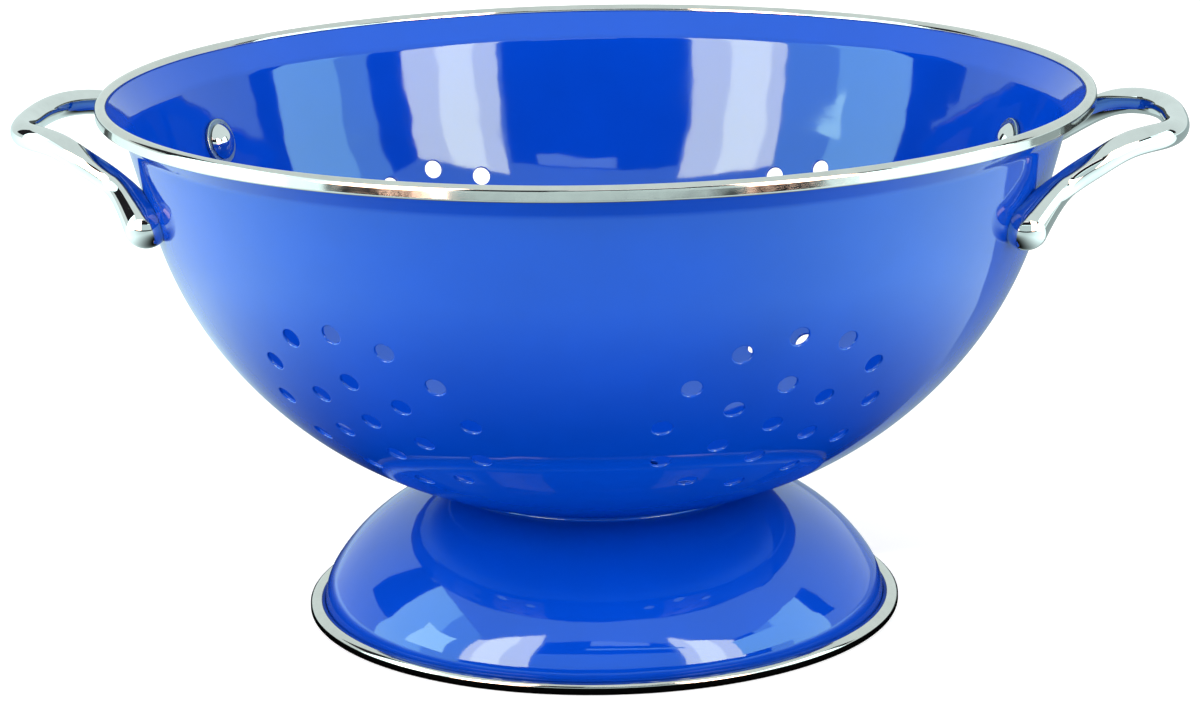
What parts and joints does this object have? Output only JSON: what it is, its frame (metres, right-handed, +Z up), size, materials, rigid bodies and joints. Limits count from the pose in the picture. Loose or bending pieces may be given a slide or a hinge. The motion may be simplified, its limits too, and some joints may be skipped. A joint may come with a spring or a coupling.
{
  "type": "colander",
  "caption": "Footed colander: flared round bowl with grouped strainer holes, rolled metal bands at rim and foot, and riveted loop handles at the sides, for draining and rinsing food.",
  "frame": {"origin": "centre of the foot's resting ring, on the table plane", "axes": "+Z up along the bowl's axis, +X towards the right handle, so the handles lie along X"},
  "size_m": [0.3358, 0.284, 0.1539],
  "materials": {
    "enamel_coat": "gloss",
    "band_chrome": "polished",
    "handle_chrome": "mirror polished",
    "rivet_steel": "polished",
    "washer_steel": "satin"
  },
  "bodies": {
    "root": {"bowl": "enamel_coat", "foot_ring": "enamel_coat", "rim_band": "band_chrome", "foot_band": "band_chrome", "handle_left": "handle_chrome", "handle_right": "handle_chrome", "rivet_right_front": "rivet_steel", "rivet_right_back": "rivet_steel", "rivet_left_front": "rivet_steel", "rivet_left_back": "rivet_steel", "washer_right_front": "washer_steel", "washer_right_back": "washer_steel", "washer_left_front": "washer_steel", "washer_left_back": "washer_steel"}
  },
  "joints": []
}
